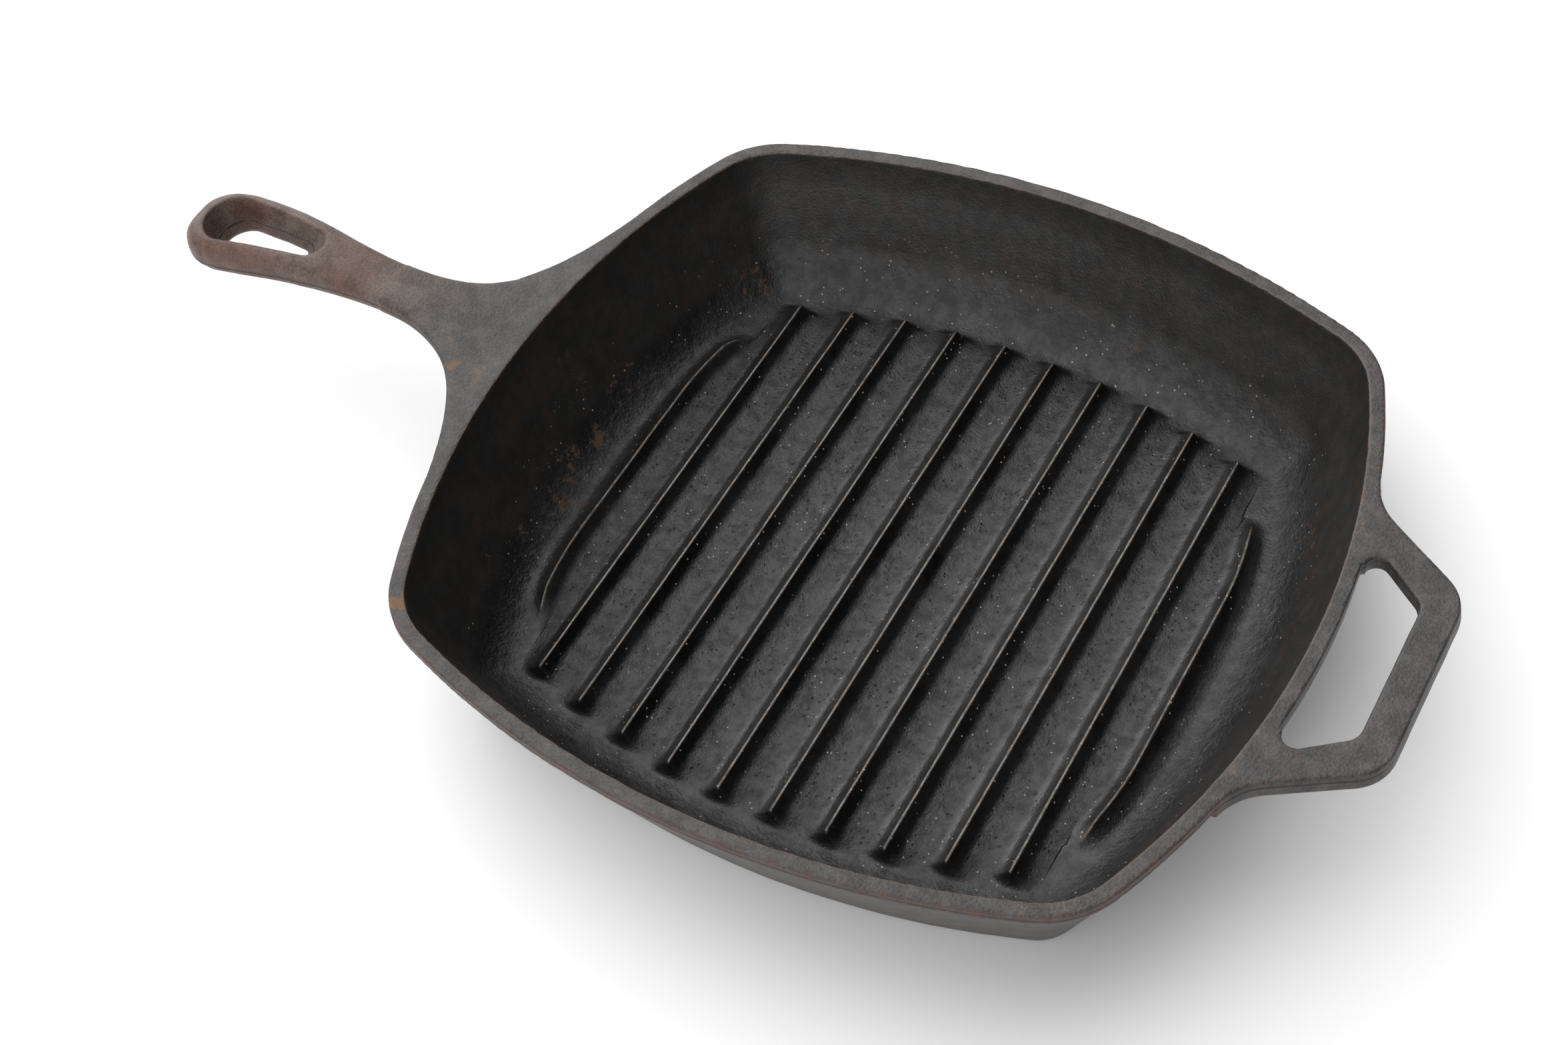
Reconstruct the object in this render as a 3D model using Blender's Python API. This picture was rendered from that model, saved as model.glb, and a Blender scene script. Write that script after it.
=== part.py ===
"""A square cast-iron grill pan with a long handle and a helper handle.

Units are metres and +Z is up. The origin is the centre of the pan's underside. The long handle
points along -X and the helper handle along +X, and the ridges run along Y.

The pan is one casting. It is divided into solids where its features meet, with a small gap between
neighbours.
"""

import math

import bmesh
import bpy
from mathutils import geometry
from mathutils import Vector

# The pan
HEIGHT = 0.049
HALF_X = 0.1330
HALF_Y = 0.1288
BOW_X = 0.0369  # how far the +X and -X sides curve back by the pan's corners
BOW_Y = 0.0343
CORNER_RADIUS = 0.0302
GAP = 0.0003  # between neighbouring solids

# The rim and the wall. An offset is measured outward from the rim's outer edge.
RIM_WIDTH = 0.0041
LIP_HEIGHT = 0.0037
LIP_OVERHANG = 0.0009
WALL_WIDTH = 0.0036
DRAFT = math.tan(math.radians(22.0))
FLOOR_THICKNESS = 0.0046
FLOOR_FILLET = 0.0080  # between the floor and the wall
BASE_ROUND = 0.0045
FLOOR_EDGE = -0.0275  # offset of the floor plate's edge
LIP_TOP_EDGE = 0.0006  # chamfer round the top of the lip
LIP_LOWER_EDGE = 0.0008
WALL_TURN = 0.7  # where the wall's inner face turns toward the floor, as a share of the fillet
FOOT_TURN = 0.15
FOOT_HOLLOW = 0.0008
BASE_TURN = (0.35, 0.25)  # the middle point of the base's round, as shares inward and up

# The grill ridges
RIDGE_MIDDLE = (-0.0008, -0.0004)  # the ridges sit a little off the middle of the pan
RIDGE_PITCH = 0.01723
RIDGE_HEIGHT = 0.0044
RIDGE_FOOT = 0.0050  # half the width at the floor
CREST_HALF_WIDTH = 0.00035
FLANK_STEPS = 5
FLANK_POWER = 2.2  # of the hollow flank: 1 is a straight slope
RIDGE_HALF_LENGTHS = (0.0808, 0.0858, 0.0900, 0.0927, 0.0937)  # outermost straight one to the middle
RIDGE_TAPER = 0.0025  # the length over which a ridge's end narrows
RIDGE_END_SCALE = 0.6
CURVED_RIDGE_X = 0.0943
CURVED_RIDGE_HALF_LENGTH = 0.0635
CURVED_RIDGE_STRAIGHT = 0.0300
CURVED_RIDGE_BEND = 0.0048
CURVED_RIDGE_STATIONS = (0.6, 0.3, 0.0)  # shares of the curved length at which the ridge turns

# The long handle
TIP_RADIUS = 0.0143
TIP_CENTRE = -0.2450
TIP_ANGLES = range(84, 11, -9)  # degrees round the tip, from its end to the shaft
FLARE_HALF_WIDTH = 0.0560
FLARE_CURVE = ((-0.1780, 0.0090), (-0.1490, 0.0090), (-0.1370, 0.0240), (-0.1254, 0.0600))
FLARE_STEPS = 60
NECK_X = -0.1600  # where the sections come closer together
SHAFT_STEP = 0.0040
FLARE_STEP = 0.0020
BOX_ROUND = 0.67  # exponent of the section's rounding: 1 is an ellipse, less is squarer

# Sections down the handle: x, half width, then crown, edge and underside above the rim.
HANDLE_SECTIONS = (
    (-0.2590, 0.0020, -0.0012, -0.0045, -0.0072),
    (-0.2550, 0.0102, 0.0030, -0.0045, -0.0083),
    (-0.2450, 0.0143, 0.0060, -0.0038, -0.0085),
    (-0.2350, 0.0142, 0.0074, -0.0023, -0.0070),
    (-0.2240, 0.0134, 0.0082, -0.0002, -0.0050),
    (-0.2100, 0.0115, 0.0086, 0.0008, -0.0040),
    (-0.1880, 0.0090, 0.0064, 0.0010, -0.0040),
    (-0.1700, 0.0094, 0.0044, 0.0006, -0.0045),
    (-0.1500, 0.0157, 0.0016, -0.0010, -0.0058),
    (-0.1250, 0.0600, 0.0000, -0.0015, -0.0065),
)

# The thumb dish and the hanging hole are each two rounds joined by straight sides: (x, radius).
DISH_ROUNDS = ((-0.2415, 0.0098), (-0.2100, 0.0058))
HOLE_ROUNDS = ((-0.2400, 0.0069), (-0.2185, 0.0043))
DISH_LIP = ((-0.2520, 0.0030), (-0.2030, 0.0088))  # height of the dish's lip above the rim at each end
HOLE_LAND = 0.0020  # straight part of the hole, above the handle's underside
CUT_SPARE = 0.0120  # how far a cutter runs past what it cuts

# The helper handle
HELPER_REACH = 0.1610
HELPER_ROOT_Y = 0.0700  # where the flare would reach the rim if it ran straight
HELPER_THICKNESS = 0.0055
HELPER_FLARE = (0.1276, 0.0522)
HELPER_FLARE_RADIUS = 0.0200
HELPER_CORNER = (0.1610, 0.0315)
HELPER_CORNER_RADIUS = 0.0137
HELPER_EDGE = 0.0006  # the thinnest the flare runs out to
SHOULDER_STEPS = 6
HELPER_HOLE_ROOT = (0.1320, 0.0384)
HELPER_HOLE_ROOT_RADIUS = 0.0037
HELPER_HOLE_END = (0.1508, 0.0240)
HELPER_HOLE_END_RADIUS = 0.0060


def clear_scene():
    for item in list(bpy.data.objects):
        bpy.data.objects.remove(item, do_unlink=True)


def new_collection(name):
    collection = bpy.data.collections.new(name)
    bpy.context.scene.collection.children.link(collection)
    return collection


def iron(name, colour, roughness):
    """A cast-iron material."""
    material = bpy.data.materials.new(name)
    material.use_nodes = True
    surface = material.node_tree.nodes["Principled BSDF"]
    surface.inputs["Base Color"].default_value = (*colour, 1.0)
    surface.inputs["Metallic"].default_value = 0.6
    surface.inputs["Roughness"].default_value = roughness
    return material


def arc(centre, radius, start, end, steps):
    """Points along an arc, both ends included."""
    points = []
    for step in range(steps + 1):
        angle = start + (end - start) * step / steps
        points.append((centre[0] + radius * math.cos(angle), centre[1] + radius * math.sin(angle)))
    return points


def bow_radius(half_width, bow):
    return (half_width**2 + bow**2) / (2 * bow)


RADIUS_X = bow_radius(HALF_Y, BOW_X)
RADIUS_Y = bow_radius(HALF_X, BOW_Y)
CENTRE_X = HALF_X - RADIUS_X
CENTRE_Y = HALF_Y - RADIUS_Y


def corner_centre():
    """The centre of the corner round that touches both bowed sides."""
    reach_x = RADIUS_X - CORNER_RADIUS
    reach_y = RADIUS_Y - CORNER_RADIUS
    first = Vector((CENTRE_X, 0.0))
    second = Vector((0.0, CENTRE_Y))
    return max(geometry.intersect_sphere_sphere_2d(first, reach_x, second, reach_y), key=sum)


def outline(offset, side_steps=14, corner_steps=8):
    """The pan's bowed square, moved outward by offset, as a closed loop of points."""
    corner = corner_centre()
    turn_x = math.atan2(corner.y, corner.x - CENTRE_X)
    turn_y = math.atan2(corner.y - CENTRE_Y, corner.x)
    quarter = arc((CENTRE_X, 0.0), RADIUS_X + offset, 0.0, turn_x, side_steps)
    quarter += arc(corner, CORNER_RADIUS + offset, turn_x, turn_y, corner_steps)[1:]
    quarter += arc((0.0, CENTRE_Y), RADIUS_Y + offset, turn_y, math.pi / 2, side_steps)[1:]
    left = [(-x, y) for x, y in reversed(quarter[:-1])]
    half = quarter + left
    return half + [(x, -y) for x, y in reversed(half[1:-1])]


def edge_x(y, offset):
    """Where the pan's +X side is at a given y."""
    return CENTRE_X + math.sqrt((RADIUS_X + offset) ** 2 - y**2)


def fillet(before, corner, after, radius, steps=8):
    """Points along the arc that rounds a corner."""
    corner = Vector(corner)
    back = (Vector(before) - corner).normalized()
    on = (Vector(after) - corner).normalized()
    half = back.angle(on) / 2
    centre = corner + (back + on).normalized() * radius / math.sin(half)
    start = corner + back * radius / math.tan(half) - centre
    end = corner + on * radius / math.tan(half) - centre
    first = math.atan2(start.y, start.x)
    turn = math.remainder(math.atan2(end.y, end.x) - first, 2 * math.pi)
    return arc(centre, radius, first, first + turn, steps)


def line_curve(name, places, dimensions, cyclic=True):
    """A curve object of straight segments through flat or solid points."""
    data = bpy.data.curves.new(name, "CURVE")
    data.dimensions = dimensions
    spline = data.splines.new("POLY")
    spline.points.add(len(places) - 1)
    for point, place in zip(spline.points, places):
        point.co = Vector(place).to_3d().to_4d()
    spline.use_cyclic_u = cyclic
    return bpy.data.objects.new(name, data)


def plate(name, points, bottom, top, collection):
    """A flat outline made into a plate between two heights."""
    item = line_curve(name, points, "2D")
    item.data.fill_mode = "BOTH"
    item.data.extrude = (top - bottom) / 2
    item.location.z = (top + bottom) / 2
    collection.objects.link(item)
    return as_mesh(item)


def as_mesh(curve_object):
    """The same object with its curve replaced by a closed mesh."""
    bpy.context.view_layer.update()
    graph = bpy.context.evaluated_depsgraph_get()
    mesh = bpy.data.meshes.new_from_object(curve_object.evaluated_get(graph))
    shape = bmesh.new()
    shape.from_mesh(mesh)
    bmesh.ops.remove_doubles(shape, verts=shape.verts, dist=1e-6)
    bmesh.ops.recalc_face_normals(shape, faces=shape.faces)
    shape.to_mesh(mesh)
    shape.free()
    name = curve_object.name
    item = bpy.data.objects.new(name, mesh)
    item.matrix_world = curve_object.matrix_world
    for collection in curve_object.users_collection:
        collection.objects.link(item)
    bpy.data.objects.remove(curve_object, do_unlink=True)
    item.name = name
    return item


def hide_cutter(item):
    item.hide_render = True
    item.display_type = "WIRE"
    return item


def cut(item, tool):
    """Subtracts a hidden cutter from a solid."""
    boolean = item.modifiers.new("cut_" + tool.name, "BOOLEAN")
    boolean.operation = "DIFFERENCE"
    boolean.solver = "EXACT"
    boolean.object = tool


def guide_section(name, points, guides):
    """A hidden section for sweeping along a path."""
    profile = line_curve(name, points, "2D")
    profile.hide_render = True
    guides.objects.link(profile)
    return profile


def sweep(item, profile):
    """Sweeps a section along a curve object, kept upright."""
    item.data.twist_mode = "Z_UP"
    item.data.bevel_mode = "OBJECT"
    item.data.bevel_object = profile


def ring(name, section, collection, guides):
    """A section of (offset, height) points swept round the pan's outline."""
    profile = guide_section(name + "_section", section, guides)
    item = line_curve(name, outline(0.0), "3D")
    sweep(item, profile)
    collection.objects.link(item)
    return as_mesh(item)


def inner_offset(height):
    """The inner face of the wall at a height above the underside."""
    return -LIP_OVERHANG - WALL_WIDTH - DRAFT * (HEIGHT - LIP_HEIGHT - height)


def outer_offset(height):
    """The outer face of the wall, below the lip, at a height above the underside."""
    return -LIP_OVERHANG - DRAFT * (HEIGHT - LIP_HEIGHT - height)


def rim_section():
    under_lip = HEIGHT - LIP_HEIGHT
    return [
        (-RIM_WIDTH, HEIGHT),
        (inner_offset(under_lip), under_lip),
        (outer_offset(under_lip), under_lip),
        (0.0, under_lip + LIP_LOWER_EDGE),
        (0.0, HEIGHT - LIP_TOP_EDGE),
        (-LIP_TOP_EDGE, HEIGHT),
    ]


def wall_section():
    top = HEIGHT - LIP_HEIGHT - GAP
    foot = FLOOR_EDGE + GAP
    bend = FLOOR_THICKNESS + FLOOR_FILLET * WALL_TURN
    turn_in, turn_up = BASE_TURN
    return [
        (outer_offset(top), top),
        (inner_offset(top), top),
        (inner_offset(bend), bend),
        ((inner_offset(bend) + foot) / 2 - FOOT_HOLLOW, FLOOR_THICKNESS + FLOOR_FILLET * FOOT_TURN),
        (foot, FLOOR_THICKNESS),
        (foot, 0.0),
        (outer_offset(0.0) - BASE_ROUND, 0.0),
        (outer_offset(0.0) - BASE_ROUND * turn_in, BASE_ROUND * turn_up),
        (outer_offset(BASE_ROUND), BASE_ROUND),
    ]


def ridge_section():
    """Across a ridge: a broad foot, hollow flanks and a narrow crest."""
    reach = RIDGE_PITCH / 2
    right = [(RIDGE_FOOT, 0.0)]
    for step in range(1, FLANK_STEPS):
        across = RIDGE_FOOT + (CREST_HALF_WIDTH - RIDGE_FOOT) * step / FLANK_STEPS
        right.append((across, RIDGE_HEIGHT * (1 - across / reach) ** FLANK_POWER))
    right.append((CREST_HALF_WIDTH, RIDGE_HEIGHT))
    return right + [(-x, z) for x, z in reversed(right)]


def ridge_path(x, half_length, bend):
    """The ridge's centre line on the floor. It turns inward by bend past its straight middle."""
    straight = CURVED_RIDGE_STRAIGHT
    stations = [-half_length, RIDGE_TAPER - half_length]
    if bend:
        stations += [-straight - (half_length - straight) * share for share in CURVED_RIDGE_STATIONS]
    stations += [-y for y in reversed(stations)]
    path = []
    for y in stations:
        past = max(0.0, abs(y) - straight) / (half_length - straight)
        place_x = RIDGE_MIDDLE[0] + x - math.copysign(bend, x) * past**2
        path.append((place_x, RIDGE_MIDDLE[1] + y, FLOOR_THICKNESS + GAP))
    return path


def ridge(index, x, half_length, bend, profile, collection):
    path = ridge_path(x, half_length, bend)
    item = line_curve(f"grill_ridge_{index:02d}", path, "3D", cyclic=False)
    sweep(item, profile)
    item.data.use_fill_caps = True
    points = item.data.splines[0].points
    points[0].radius = RIDGE_END_SCALE
    points[-1].radius = RIDGE_END_SCALE
    collection.objects.link(item)
    return as_mesh(item)


def ridge_layout():
    """Each ridge's x, half length and bend: a curved ridge by each handle, straight ones between."""
    lengths = RIDGE_HALF_LENGTHS + RIDGE_HALF_LENGTHS[::-1]
    middle = (len(lengths) - 1) / 2
    curved = (CURVED_RIDGE_HALF_LENGTH, CURVED_RIDGE_BEND)
    straight = [((place - middle) * RIDGE_PITCH, length, 0.0) for place, length in enumerate(lengths)]
    return [(-CURVED_RIDGE_X, *curved), *straight, (CURVED_RIDGE_X, *curved)]


def ridges(collection, guides):
    profile = guide_section("ridge_section", ridge_section(), guides)
    made = []
    for index, (x, half_length, bend) in enumerate(ridge_layout(), start=1):
        made.append(ridge(index, x, half_length, bend, profile, collection))
    return made


def helper_outline():
    """The flat loop, whose inner side follows the rim's outer edge."""
    root = (edge_x(HELPER_ROOT_Y, 0.0), HELPER_ROOT_Y)
    flare = fillet(root, HELPER_FLARE, HELPER_CORNER, HELPER_FLARE_RADIUS)
    flare = [(x, y) for x, y in flare if x > edge_x(y, GAP + HELPER_EDGE)]
    corner = fillet(HELPER_FLARE, HELPER_CORNER, (HELPER_REACH, 0.0), HELPER_CORNER_RADIUS)
    hole_side = (edge_x(0.0, 0.0), 0.0)
    hole = fillet(hole_side, HELPER_HOLE_ROOT, HELPER_HOLE_END, HELPER_HOLE_ROOT_RADIUS)
    hole = [(x, y) for x, y in hole if x > edge_x(y, GAP)]
    hole_middle = (HELPER_HOLE_END[0], 0.0)
    hole += fillet(HELPER_HOLE_ROOT, HELPER_HOLE_END, hole_middle, HELPER_HOLE_END_RADIUS)
    shoulder = []
    for step in range(SHOULDER_STEPS + 1):
        y = flare[0][1] + (hole[0][1] - flare[0][1]) * step / SHOULDER_STEPS
        shoulder.append((edge_x(y, GAP), y))
    half = list(reversed(flare + corner)) + shoulder + hole
    return half + [(x, -y) for x, y in reversed(half)]


def two_rounds(rounds, steps=14):
    """A closed outline of two rounds on the X axis joined by straight sides that touch both."""
    (first_x, first_radius), (second_x, second_radius) = rounds
    touch = math.acos((first_radius - second_radius) / (second_x - first_x))
    points = arc((first_x, 0.0), first_radius, touch, 2 * math.pi - touch, steps)
    return points + arc((second_x, 0.0), second_radius, -touch, touch, steps)


def between_sections(x):
    """The handle's section at x, on a smooth curve through the listed ones."""
    last = len(HANDLE_SECTIONS) - 1
    index = 0
    while index < last - 1 and HANDLE_SECTIONS[index + 1][0] < x:
        index += 1
    before = HANDLE_SECTIONS[max(index - 1, 0)]
    near = HANDLE_SECTIONS[index]
    far = HANDLE_SECTIONS[index + 1]
    beyond = HANDLE_SECTIONS[min(index + 2, last)]
    span = far[0] - near[0]
    t = (x - near[0]) / span
    values = []
    for a, b, c, d in zip(before[1:], near[1:], far[1:], beyond[1:]):
        start_slope = (c - a) / (far[0] - before[0]) * span
        end_slope = (d - b) / (beyond[0] - near[0]) * span
        rise = b * (1 + 2 * t) * (1 - t) ** 2 + c * t**2 * (3 - 2 * t)
        values.append(rise + start_slope * t * (1 - t) ** 2 - end_slope * t**2 * (1 - t))
    return values


def flare_half_width(x):
    """The concave sweep of the handle's sides into the rim."""
    curve = geometry.interpolate_bezier(*(Vector(point) for point in FLARE_CURVE), FLARE_STEPS)
    for near, far in zip(curve, curve[1:]):
        if near.x <= x <= far.x:
            return near.y + (far.y - near.y) * (x - near.x) / (far.x - near.x)
    return None


def handle_half_width(x):
    """A round tip, then the tapering shaft, then the flare."""
    if x < TIP_CENTRE:
        return math.sqrt(TIP_RADIUS**2 - (x - TIP_CENTRE) ** 2)
    return flare_half_width(x) or between_sections(x)[0]


def handle_stations():
    """The x of each section, closer together where the outline turns."""
    stations = [TIP_CENTRE - TIP_RADIUS * math.sin(math.radians(angle)) for angle in TIP_ANGLES]
    x = TIP_CENTRE
    while handle_half_width(x) < FLARE_HALF_WIDTH:
        stations.append(x)
        x += SHAFT_STEP if x < NECK_X else FLARE_STEP
    return stations


def handle_ring(x, steps=24):
    """A section across the handle: a crown, its edge at the widest place, and the underside."""
    half_width = handle_half_width(x)
    crown, edge, under = between_sections(x)[1:]
    points = []
    for step in range(steps):
        angle = 2 * math.pi * step / steps
        across = math.cos(angle)
        up = math.sin(angle)
        y = half_width * math.copysign(abs(across) ** BOX_ROUND, across)
        rise = crown - edge if up > 0 else edge - under
        z = HEIGHT + edge + rise * math.copysign(abs(up) ** BOX_ROUND, up)
        points.append((x, y, z))
    return points


def loft(name, rings, collection):
    """A closed solid through a row of rings with equal point counts."""
    shape = bmesh.new()
    loops = [[shape.verts.new(point) for point in ring_points] for ring_points in rings]
    for near, far in zip(loops, loops[1:]):
        for index in range(len(near)):
            following = (index + 1) % len(near)
            shape.faces.new((near[index], near[following], far[following], far[index]))
    shape.faces.new(loops[0])
    shape.faces.new(loops[-1])
    bmesh.ops.recalc_face_normals(shape, faces=shape.faces)
    mesh = bpy.data.meshes.new(name)
    shape.to_mesh(mesh)
    shape.free()
    item = bpy.data.objects.new(name, mesh)
    collection.objects.link(item)
    return item


def dish_cutter(collection):
    """The thumb dish, which slopes down all round to the hanging hole and goes right through."""
    (tip_x, tip_lip), (pan_x, pan_lip) = DISH_LIP
    slope = (pan_lip - tip_lip) / (pan_x - tip_x)
    lip = [(x, y, HEIGHT + tip_lip + slope * (x - tip_x)) for x, y in two_rounds(DISH_ROUNDS)]
    above = [(x, y, z + CUT_SPARE) for x, y, z in lip]
    land = [(x, y, HEIGHT + between_sections(x)[3] + HOLE_LAND) for x, y in two_rounds(HOLE_ROUNDS)]
    below = [(x, y, z - CUT_SPARE) for x, y, z in land]
    return hide_cutter(loft("thumb_dish", [below, land, lip, above], collection))


def long_handle(collection, cutters):
    item = loft("long_handle", [handle_ring(x) for x in handle_stations()], collection)
    pan_space = plate("pan_space", outline(GAP), -CUT_SPARE, HEIGHT + CUT_SPARE, cutters)
    cut(item, hide_cutter(pan_space))
    cut(item, dish_cutter(cutters))
    return item


def build():
    clear_scene()
    pan = new_collection("grill_pan")
    cutters = new_collection("cutters")
    guides = new_collection("guides")
    seasoned = iron("seasoned_iron", (0.030, 0.031, 0.034), 0.45)
    worn = iron("worn_iron", (0.085, 0.070, 0.055), 0.40)
    handle_iron = iron("handle_iron", (0.055, 0.047, 0.042), 0.60)
    floor = plate("floor_plate", outline(FLOOR_EDGE), 0.0, FLOOR_THICKNESS, pan)
    wall = ring("side_wall", wall_section(), pan, guides)
    rim = ring("rim_band", rim_section(), pan, guides)
    helper = plate("helper_handle", helper_outline(), HEIGHT - HELPER_THICKNESS, HEIGHT, pan)
    handle = long_handle(pan, cutters)
    for item in (floor, wall):
        item.data.materials.append(seasoned)
    for item in ridges(pan, guides):
        item.data.materials.append(worn)
    for item in (rim, helper, handle):
        item.data.materials.append(handle_iron)
    handle.data.shade_smooth()
    handle.data.set_sharp_from_angle(angle=math.radians(35))


build()
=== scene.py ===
"""The looks of a square cast-iron grill pan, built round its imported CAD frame.

Units are metres and +Z is up. The long handle points along -X and the ridges run along Y.

The casting is described by a field: a number for every point that is negative in the iron and
positive in the air, and close to the surface is near enough the distance from it. The field is
sampled on a grid and wrapped in faces. Each region of the casting becomes its own closed piece, and
neighbours share the points along their border, so that no seam shows between them.
"""

import itertools
import math

import bpy
import numpy as np
from mathutils import geometry
from mathutils import Matrix
from mathutils import Vector


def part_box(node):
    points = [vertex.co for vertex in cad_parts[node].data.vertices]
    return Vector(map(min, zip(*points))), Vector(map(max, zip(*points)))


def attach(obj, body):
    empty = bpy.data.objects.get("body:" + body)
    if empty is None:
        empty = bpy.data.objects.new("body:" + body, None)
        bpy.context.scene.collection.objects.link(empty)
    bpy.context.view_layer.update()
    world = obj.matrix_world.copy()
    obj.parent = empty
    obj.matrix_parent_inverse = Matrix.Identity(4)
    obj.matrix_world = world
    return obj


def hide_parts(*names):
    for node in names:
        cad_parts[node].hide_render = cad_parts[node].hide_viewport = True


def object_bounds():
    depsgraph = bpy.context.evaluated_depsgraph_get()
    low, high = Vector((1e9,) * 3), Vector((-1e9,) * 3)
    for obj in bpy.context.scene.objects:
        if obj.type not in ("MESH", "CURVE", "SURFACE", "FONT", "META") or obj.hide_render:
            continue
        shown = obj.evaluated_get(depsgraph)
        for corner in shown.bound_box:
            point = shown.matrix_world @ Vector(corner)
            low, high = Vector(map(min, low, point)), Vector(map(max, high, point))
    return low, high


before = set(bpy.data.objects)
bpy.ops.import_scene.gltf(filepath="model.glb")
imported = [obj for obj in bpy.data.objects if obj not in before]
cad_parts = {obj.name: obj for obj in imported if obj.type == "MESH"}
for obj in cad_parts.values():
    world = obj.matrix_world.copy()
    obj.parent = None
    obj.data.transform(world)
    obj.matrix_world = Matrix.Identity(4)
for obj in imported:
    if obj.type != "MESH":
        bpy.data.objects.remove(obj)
CAD_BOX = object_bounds()

# Sizes that the frame gives
RIM_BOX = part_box("rim_band")
HALF_X, HALF_Y, HEIGHT = RIM_BOX[1]
LIP_HEIGHT = HEIGHT - RIM_BOX[0].z
LIP_BOTTOM = HEIGHT - LIP_HEIGHT
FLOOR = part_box("floor_plate")[1].z
RIDGE_NODES = sorted(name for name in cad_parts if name.startswith("grill_ridge"))
HELPER_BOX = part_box("helper_handle")
HELPER_REACH = HELPER_BOX[1].x

# The pan's outline and wall. An offset is measured outward from the rim's outer edge.
BOW_X = 0.0369
BOW_Y = 0.0343
CORNER_RADIUS = 0.0302
RIM_WIDTH = 0.0041
LIP_OVERHANG = 0.0009
WALL_WIDTH = 0.0036
DRAFT_ANGLE = math.radians(22.0)
DRAFT = math.tan(DRAFT_ANGLE)
FLOOR_FILLET = 0.0100
BASE_ROUND = 0.0045
RIM_ROUND = 0.0007
LIP_ROUND = 0.0006
FLOOR_EDGE = -0.0275  # offset at which the floor plate ends and the wall's foot begins

# The grill ridges
RIDGE_MIDDLE = (-0.0008, -0.0004)
RIDGE_PITCH = 0.01723
RIDGE_REACH = RIDGE_PITCH / 2
SCALLOP_POWER = 2.2  # of the hollow between two ridges: 1 is a straight slope
CREST_ROUND = 0.00030
RIDGE_END = 2.6  # how much steeper a ridge's end is than its flanks
RIDGE_CUT = 0.0003  # height above the floor at which a ridge begins
RIDGE_RISE = 0.0044  # height of a crest above the floor
RIDGE_MARGIN = 0.035  # the ridges end this far inside the outline
CURVED_RIDGE_X = 0.0943
RIDGE_BEND = 0.0048
RIDGE_STRAIGHT = 0.0300
CURVED_FADE = (-0.0020, 0.0110)  # between these distances from its end, a curved ridge runs out

# The long handle
TIP_RADIUS = 0.0143
TIP_CENTRE = -0.2450
TIP_ROUND = 0.0010
BOX_POWER = 3.0  # of the section's rounding: 2 is an ellipse, more is squarer
HANDLES_FROM = 0.1050  # no handle comes closer than this to the middle of the pan

# Sections down the handle: x, half width, then crown, edge and underside above the rim.
HANDLE_SECTIONS = (
    (-0.2590, 0.0020, -0.0012, -0.0045, -0.0072),
    (-0.2550, 0.0102, 0.0030, -0.0045, -0.0083),
    (-0.2450, 0.0143, 0.0060, -0.0038, -0.0085),
    (-0.2350, 0.0142, 0.0074, -0.0023, -0.0070),
    (-0.2240, 0.0134, 0.0082, -0.0002, -0.0050),
    (-0.2100, 0.0115, 0.0086, 0.0008, -0.0040),
    (-0.1880, 0.0090, 0.0064, 0.0010, -0.0040),
    (-0.1700, 0.0094, 0.0044, 0.0006, -0.0045),
    (-0.1500, 0.0157, 0.0016, -0.0010, -0.0058),
    (-0.1250, 0.0600, -0.0012, -0.0015, -0.0065),
)

# The flare that carries the handle into the rim: (x, half width) down its length
FLARE_CURVE = ((-0.1780, 0.0090), (-0.1490, 0.0090), (-0.1370, 0.0240), (-0.1254, 0.0600))
FLARE_STEPS = 80
FLARE_WIDTH = FLARE_CURVE[-1][1]
FLARE_LIFT = 0.0060  # raises the flare past the rim's top, which then cuts it level
FLARE_SINK = 3  # how much faster the lifted flare takes over than it is lifted

# The thumb dish and the hanging hole are each two rounds joined by straight sides: (x, radius).
DISH_ROUNDS = ((-0.2415, 0.0098), (-0.2100, 0.0058))
HOLE_ROUNDS = ((-0.2400, 0.0069), (-0.2185, 0.0043))
DISH_LIP = ((-0.2520, 0.0030), (-0.2030, 0.0088))  # height of the dish's lip above the rim at each end
DISH_CURVE = 0.9  # of the dish's slope: 1 is straight, less is hollow
DISH_SLOPE = 0.85  # how far a step outward from the dish's slope takes one from it, as a share
DISH_EDGE_ROUND = 0.0013
HOLE_LAND = 0.0020  # straight part of the hole, above the handle's underside
UNDERSIDE_FILLET = 0.0040
RIM_PARTING = 0.0018  # how far the parting line is below the rim's top
HANDLE_CUT = 0.0010  # how far past the rim a handle's own piece begins

# The helper handle
HELPER_ROOT_Y = 0.0700  # where the flare would reach the rim if it ran straight
HELPER_ROOT_WIDTH = 0.0550
HELPER_INNER = (0.1200, 0.0600)  # a corner inside the pan, where the outline closes
HELPER_FLARE = (0.1276, 0.0522)
HELPER_FLARE_RADIUS = 0.0200
HELPER_CORNER = (0.1610, 0.0315)
HELPER_CORNER_RADIUS = 0.0137
HELPER_HOLE_ROOT = (0.1320, 0.0384)
HELPER_HOLE_ROOT_RADIUS = 0.0037
HELPER_HOLE_END = (0.1508, 0.0240)
HELPER_HOLE_END_RADIUS = 0.0060
HELPER_HOLE_MEETING = 0.0012  # the round where the hole meets the rim
HELPER_HOLE_ROUND = 0.0006
HELPER_UNDER_ROUND = 0.0009
HELPER_DRAFT = 0.16  # how much wider the handle is, for each unit down

# The casting's unevenness: the size of its lumps and their height
SKIN_BROAD = (0.0140, 0.00010)
SKIN_LUMPS = (0.0045, 0.00005)

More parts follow.
